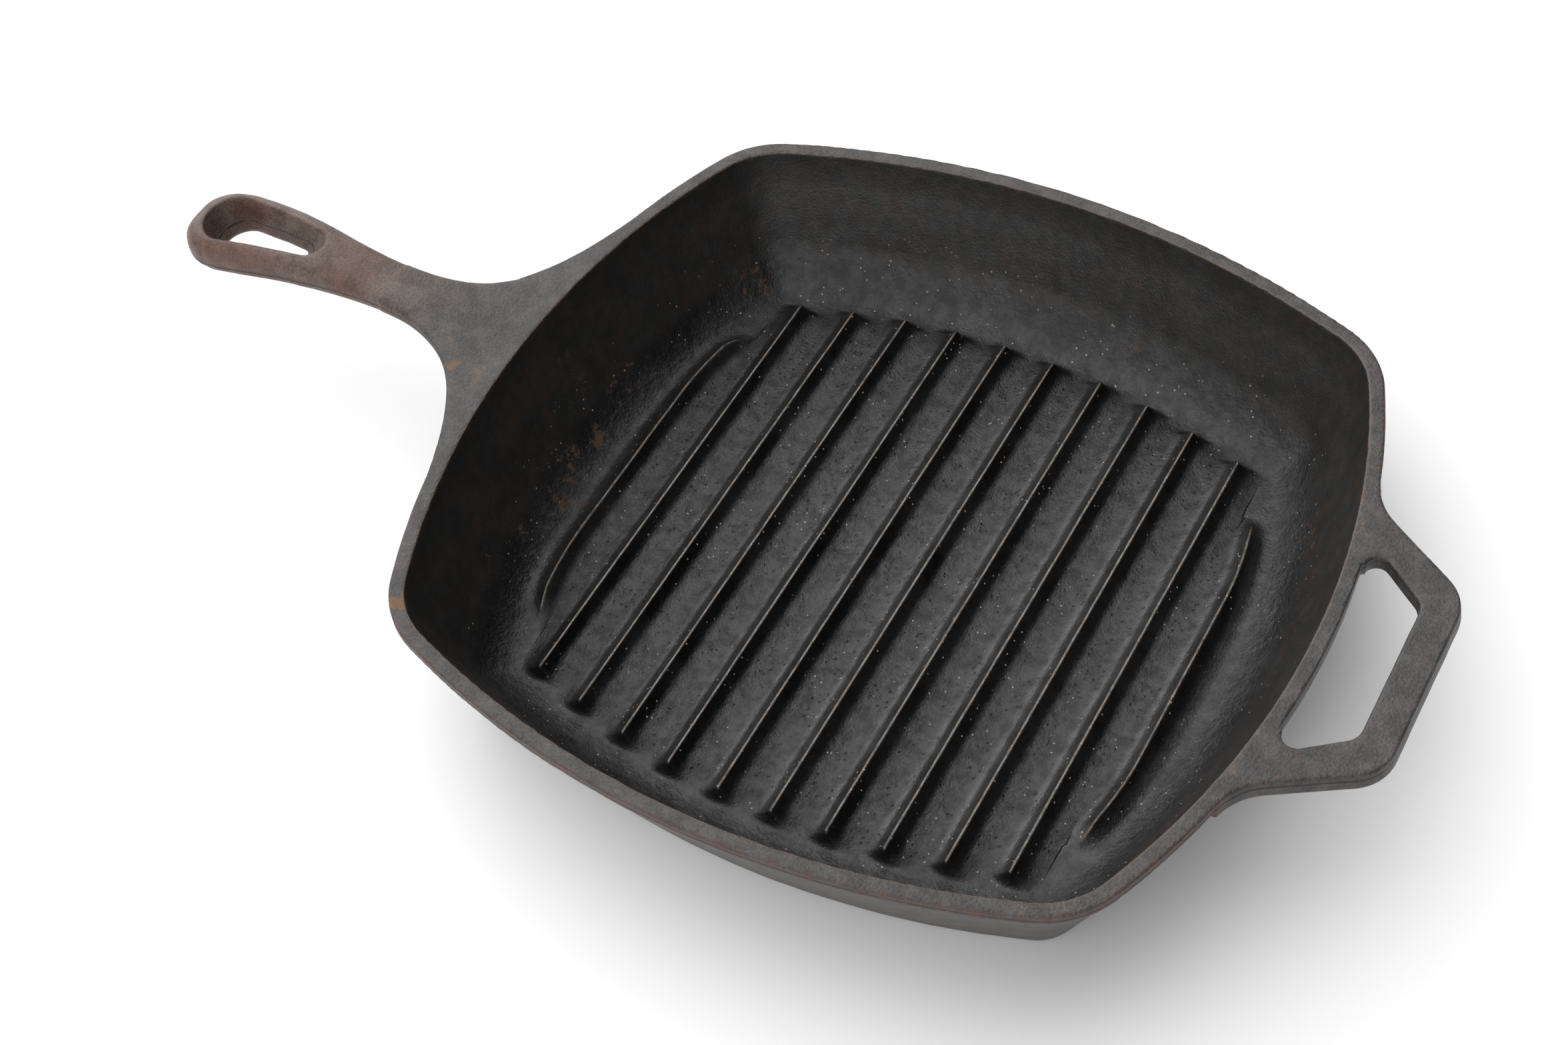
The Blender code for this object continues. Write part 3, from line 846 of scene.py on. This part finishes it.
class Nodes:
    """Short ways to add and link a material's nodes."""

    def __init__(self, name):
        self.material = bpy.data.materials.new(name)
        self.material.use_nodes = True
        self.tree = self.material.node_tree
        self.surface = self.tree.nodes["Principled BSDF"]
        self.place = self.add("ShaderNodeTexCoord").outputs["Object"]

    def add(self, kind, **settings):
        node = self.tree.nodes.new(kind)
        for key, value in settings.items():
            setattr(node, key, value)
        return node

    def put(self, socket, value):
        """Links a socket to another one, or gives it a value."""
        if isinstance(value, bpy.types.NodeSocket):
            self.tree.links.new(value, socket)
        else:
            socket.default_value = value

    def height(self):
        node = self.add("ShaderNodeSeparateXYZ")
        self.put(node.inputs[0], self.place)
        return node.outputs["Z"]

    def maths(self, operation, *values):
        node = self.add("ShaderNodeMath", operation=operation)
        for socket, value in zip(node.inputs, values):
            self.put(socket, value)
        return node.outputs[0]

    def times(self, first, *others):
        """The product of its values."""
        for other in others:
            first = self.maths("MULTIPLY", first, other)
        return first

    def centred(self, value):
        """A value from 0 to 1 moved to run about 0."""
        return self.maths("ADD", value, -0.5)

    def mark(self, name):
        return self.add("ShaderNodeAttribute", attribute_name=name).outputs["Fac"]

    def noise(self, size, detail=2.0, roughness=0.5):
        """A noise whose lumps are about size across."""
        node = self.add("ShaderNodeTexNoise")
        self.put(node.inputs["Vector"], self.place)
        node.inputs["Scale"].default_value = 1 / size
        node.inputs["Detail"].default_value = detail
        node.inputs["Roughness"].default_value = roughness
        return node.outputs["Fac"]

    def dots(self, size, outer, inner):
        """Round dots, one in each cell of about size, that fade from inner to outer."""
        node = self.add("ShaderNodeTexVoronoi")
        self.put(node.inputs["Vector"], self.place)
        node.inputs["Scale"].default_value = 1 / size
        return self.steps(node.outputs["Distance"], outer, inner)

    def steps(self, value, low, high, start=0.0, end=1.0):
        """Start at low, end at high and a smooth slope between."""
        node = self.add("ShaderNodeMapRange", interpolation_type="SMOOTHSTEP")
        for socket, given in zip(node.inputs, (value, low, high, start, end)):
            self.put(socket, given)
        return node.outputs["Result"]

    def mix(self, share, first, second):
        """One colour turning into another."""
        node = self.add("ShaderNodeMix", data_type="RGBA")
        self.put(node.inputs["Factor"], share)
        for socket, colour in ((node.inputs["A"], first), (node.inputs["B"], second)):
            self.put(socket, (*colour, 1.0) if isinstance(colour, tuple) else colour)
        return node.outputs["Result"]

    def blend(self, share, first, second):
        """One number turning into another."""
        node = self.add("ShaderNodeMix", data_type="FLOAT")
        self.put(node.inputs["Factor"], share)
        self.put(node.inputs["A"], first)
        self.put(node.inputs["B"], second)
        return node.outputs["Result"]

    def bump(self, height, depth, below=None):
        """Relief of the given depth, laid over the relief below."""
        node = self.add("ShaderNodeBump")
        node.inputs["Strength"].default_value = 1.0
        self.put(node.inputs["Distance"], depth)
        self.put(node.inputs["Height"], height)
        if below is not None:
            self.put(node.inputs["Normal"], below)
        return node.outputs["Normal"]


class Iron(Nodes):
    """The marks and the noises that the parts of the finish share. Lengths are in millimetres."""

    def __init__(self, name):
        super().__init__(name)
        self.depth = self.maths("SUBTRACT", HEIGHT * 1000, self.times(self.height(), 1000))
        self.across = self.mark("across")
        self.aside = self.mark("aside")
        self.margin = self.mark("margin")
        self.uneven = self.noise(0.0030, 3.0, 0.6)
        self.broad = self.noise(0.022, 2.0, 0.5)
        self.grain = self.noise(0.0008, 2.0, 0.6)
        self.edge = self.maths("ADD", self.mark("inner"), self.centred(self.uneven))
        self.inside = self.steps(self.edge, 0.45, 0.20)
        self.between = self.steps(self.margin, 2.0, -9.0)
        self.on_floor = self.times(self.inside, self.steps(self.depth, *FLOOR_DEPTH))


def bare_colour(n):
    """The rim and the handles: mottled grey iron, turning brown along the long handle."""
    blotches = n.steps(n.noise(0.0065, 5.0, 0.62), 0.36, 0.64)
    sand = n.steps(n.grain, 0.34, 0.66)
    mottle = n.maths("ADD", n.times(blotches, 0.55), n.times(sand, 0.45))
    grey = n.mix(mottle, *GREY_IRON)
    brown = n.mix(mottle, *BROWN_IRON)
    brown = n.mix(n.steps(n.broad, 0.42, 0.66), brown, n.mix(mottle, *RED_IRON))
    return n.mix(n.maths("MAXIMUM", n.mark("handle"), n.steps(n.uneven, 0.62, 0.75)), grey, brown)


def seasoned_colour(n):
    """The cooking side: nearly black on the floor, and a warmer black up the wall."""
    floor_black = n.mix(n.steps(n.broad, 0.35, 0.70), *FLOOR_BLACK)
    wall_black = n.mix(n.steps(n.noise(0.010, 5.0, 0.65), 0.40, 0.65), *WALL_BLACK)
    return n.mix(n.steps(n.depth, *WALL_FOOT), floor_black, wall_black)


def with_worn_and_highlit_crests(n, colour):
    """The ridges' crests, worn to the metal, with a painted highlight along them in the same pale
    colour.
    """
    off_crest = n.maths("ABSOLUTE", n.maths("ADD", n.across, -0.05))
    edge = n.maths("ADD", off_crest, n.times(n.centred(n.uneven), 0.9))
    crest = n.times(n.steps(edge, 0.42, 0.18), n.steps(n.mark("beyond"), 0.6, -0.2))
    crest = n.times(crest, n.steps(n.depth, 43.5, 42.0))
    crest_wear_and_highlight = n.mix(n.steps(n.uneven, 0.35, 0.65), *CREST_METAL_AND_HIGHLIGHT)
    return n.mix(crest, colour, crest_wear_and_highlight)


def with_worn_edges(n, colour):
    """The lip's inner edge, worn brown, and a red tinge along its outer edge."""
    lip = n.times(n.steps(n.edge, 0.10, 0.35), n.steps(n.edge, 0.85, 0.50))
    lip = n.times(lip, n.steps(n.depth, 0.8, 0.3), 0.6)
    colour = n.mix(lip, colour, LIP_METAL)
    outer = n.mark("outer")
    edge = n.times(n.steps(outer, -1.3, -0.2), n.steps(outer, 2.0, 0.6))
    edge = n.times(edge, n.steps(n.uneven, 0.35, 0.60), 0.7)
    return n.mix(edge, colour, EDGE_RED)


def rust_share(n):
    """Flecks of rust, gathered where the mark is strong."""
    flecks = n.times(n.steps(n.noise(0.0045, 6.0, 0.75), 0.36, 0.64), 0.7)
    return n.steps(n.maths("ADD", n.times(n.mark("rust"), 0.6), flecks), 0.84, 1.06)


def seam_groove_and_shade(n):
    """The line where the two halves of the mould met. It gives the groove its bump, and the darkening
    along it is painted shade.
    """
    parting = n.maths("ABSOLUTE", n.mark("parting"))
    return n.steps(n.maths("ADD", parting, n.centred(n.uneven)), 0.42, 0.16)


def crumb_share(n):
    """Crumbs and salt specks, in patches on the floor and low on the wall."""
    patches = n.steps(n.noise(0.014, 3.0, 0.6), 0.43, 0.58)
    crumbs = n.times(n.dots(0.0026, 0.125, 0.085), patches)
    return n.times(crumbs, n.steps(n.depth, *CRUMB_DEPTH), n.inside, 0.8)


def gloss(n):
    """How strongly the surface mirrors: patchy inside, and dull down the shaded flanks of the ridges."""
    patches = n.noise(0.0048, 5.0, 0.70)
    channels = n.steps(patches, 0.36, 0.60, 0.70, 1.15)
    elsewhere = n.steps(patches, 0.38, 0.66, 0.46, 0.66)
    oily = n.blend(n.between, elsewhere, channels)
    flank = n.times(n.steps(n.aside, 5.8, 3.0), n.steps(n.margin, 2.0, -1.0))
    far_side = n.times(flank, n.steps(n.across, 0.2, 0.8))
    shaded = n.blend(far_side, n.blend(flank, 1.0, 0.85), 0.38)
    oily = n.times(oily, n.blend(n.on_floor, 1.0, shaded))
    return n.blend(n.inside, 0.42, oily)


def roughness(n, rust):
    satin = n.blend(n.steps(n.broad, 0.3, 0.7), 0.31, 0.42)
    satin = n.blend(n.between, n.maths("ADD", satin, 0.12), satin)
    return n.blend(rust, n.blend(n.inside, 0.45, satin), 0.85)


def relief(n, seam):
    """A fine sand grain everywhere, and flaky, pitted seasoning down the channels."""
    channel = n.times(n.steps(n.aside, 2.5, 6.0), n.steps(n.margin, 4.0, -6.0))
    flaky = n.times(n.on_floor, n.maths("ADD", n.times(channel, 0.94), 0.06))
    fine = n.bump(n.grain, n.blend(n.inside, GRAIN_OUTSIDE, GRAIN_INSIDE))
    lumps = n.bump(n.times(n.noise(0.0009, 3.0, 0.6), flaky), LUMP_RELIEF, fine)
    pits = n.times(n.dots(0.0021, 0.24, 0.10), n.steps(n.noise(0.008), 0.42, 0.56), 0.7)
    flakes = n.maths("SUBTRACT", n.noise(0.0022, 6.0, 0.78), pits)
    skin_relief = n.bump(n.times(flakes, flaky), FLAKE_RELIEF, lumps)
    foot = n.times(n.on_floor, n.steps(n.margin, 0.0, 6.0))
    skin_relief = n.bump(n.times(n.noise(0.0022, 4.0, 0.6), foot), FOOT_RELIEF, skin_relief)
    return n.bump(n.times(seam, -1.0), SEAM_DEPTH, skin_relief)


def iron_material(name):
    """Cast iron: black and seasoned inside, bare grey-brown on the rim and the handles."""
    n = Iron(name)
    rust = rust_share(n)
    seam = seam_groove_and_shade(n)
    colour = n.mix(n.inside, bare_colour(n), seasoned_colour(n))
    # Worn crests, whose pale line is also a painted highlight
    colour = with_worn_and_highlit_crests(n, colour)
    colour = with_worn_edges(n, colour)
    rust_colour = n.mix(n.maths("SUBTRACT", 1.0, n.inside), RUST_INSIDE, RUST_OUTSIDE)
    colour = n.mix(n.times(rust, 0.75), colour, rust_colour)
    # Painted shade along the parting groove
    colour = n.mix(n.times(seam, 0.85), colour, SEAM_PAINTED_SHADE)
    colour = n.mix(crumb_share(n), colour, CRUMB)
    n.put(n.surface.inputs["Base Color"], colour)
    n.put(n.surface.inputs["Specular IOR Level"], gloss(n))
    n.put(n.surface.inputs["Roughness"], roughness(n, rust))
    n.put(n.surface.inputs["Normal"], relief(n, seam))
    return n.material


def camera():
    """A camera above the near right corner, tilted a little about its own axis."""
    azimuth = math.radians(34.4356)
    elevation = math.radians(51.9377)
    roll = math.radians(-6.7493)
    distance = 0.68631
    target = Vector((-0.0212, -0.0277, HEIGHT))
    ahead = Vector((
        -math.sin(azimuth) * math.cos(elevation),
        math.cos(azimuth) * math.cos(elevation),
        -math.sin(elevation),
    ))
    right = Vector((math.cos(azimuth), math.sin(azimuth), 0.0))
    up = right.cross(ahead)
    across = right * math.cos(roll) + up * math.sin(roll)
    upward = up * math.cos(roll) - right * math.sin(roll)
    data = bpy.data.cameras.new("camera")
    data.sensor_width = 36.0
    data.lens = 54.684
    data.clip_start = 0.01
    item = bpy.data.objects.new("camera", data)
    item.matrix_world = Matrix((across, upward, -ahead)).transposed().to_4x4()
    item.location = target - ahead * distance
    bpy.context.scene.collection.objects.link(item)
    bpy.context.scene.camera = item


def floor():
    """A plain pale table, just clear of the pan's underside."""
    mesh = bpy.data.meshes.new("table")
    corners = [(x * TABLE_REACH, y * TABLE_REACH, 0) for x, y in ((-1, -1), (1, -1), (1, 1), (-1, 1))]
    mesh.from_pydata(corners, [], [(0, 1, 2, 3)])
    item = bpy.data.objects.new("table", mesh)
    item.location.z = -TABLE_GAP
    bpy.context.scene.collection.objects.link(item)
    material = bpy.data.materials.new("pale_table")
    material.use_nodes = True
    surface = material.node_tree.nodes["Principled BSDF"]
    surface.inputs["Base Color"].default_value = (0.88, 0.88, 0.88, 1.0)
    surface.inputs["Roughness"].default_value = 0.7
    mesh.materials.append(material)


def toward(tree, direction, low, high, start, end):
    """A value that changes smoothly with how far the view turns toward a direction."""
    place = tree.nodes.new("ShaderNodeTexCoord").outputs["Generated"]
    dot = tree.nodes.new("ShaderNodeVectorMath")
    dot.operation = "DOT_PRODUCT"
    tree.links.new(place, dot.inputs[0])
    dot.inputs[1].default_value = Vector(direction).normalized()
    shade = tree.nodes.new("ShaderNodeMapRange")
    shade.interpolation_type = "SMOOTHSTEP"
    tree.links.new(dot.outputs["Value"], shade.inputs[0])
    for socket, value in zip(shade.inputs[1:], (low, high, start, end)):
        socket.default_value = value
    return shade.outputs["Result"]


def added(tree, first, second):
    node = tree.nodes.new("ShaderNodeMath")
    node.operation = "ADD"
    tree.links.new(first, node.inputs[0])
    tree.links.new(second, node.inputs[1])
    return node.outputs[0]


def studio():
    """A broad soft window high on the left, in a pale room that is dark at the far right."""
    world = bpy.data.worlds.new("studio")
    bpy.context.scene.world = world
    world.use_nodes = True
    tree = world.node_tree
    room = added(tree, toward(tree, *DARK_SIDE), toward(tree, *FRONT))
    background = tree.nodes["Background"]
    background.inputs["Color"].default_value = (1.0, 1.0, 1.0, 1.0)
    tree.links.new(added(tree, toward(tree, *WINDOW), room), background.inputs["Strength"])
    bpy.context.scene.view_settings.view_transform = "Standard"


pieces = build_casting()
materials = {slot: iron_material(slot) for slot in ("pan_iron", "ridge_iron", "handle_iron")}
for node, piece in pieces.items():
    slot = "ridge_iron" if node in RIDGE_NODES else SLOTS[node]
    piece.data.materials.append(materials[slot])
camera()
floor()
studio()
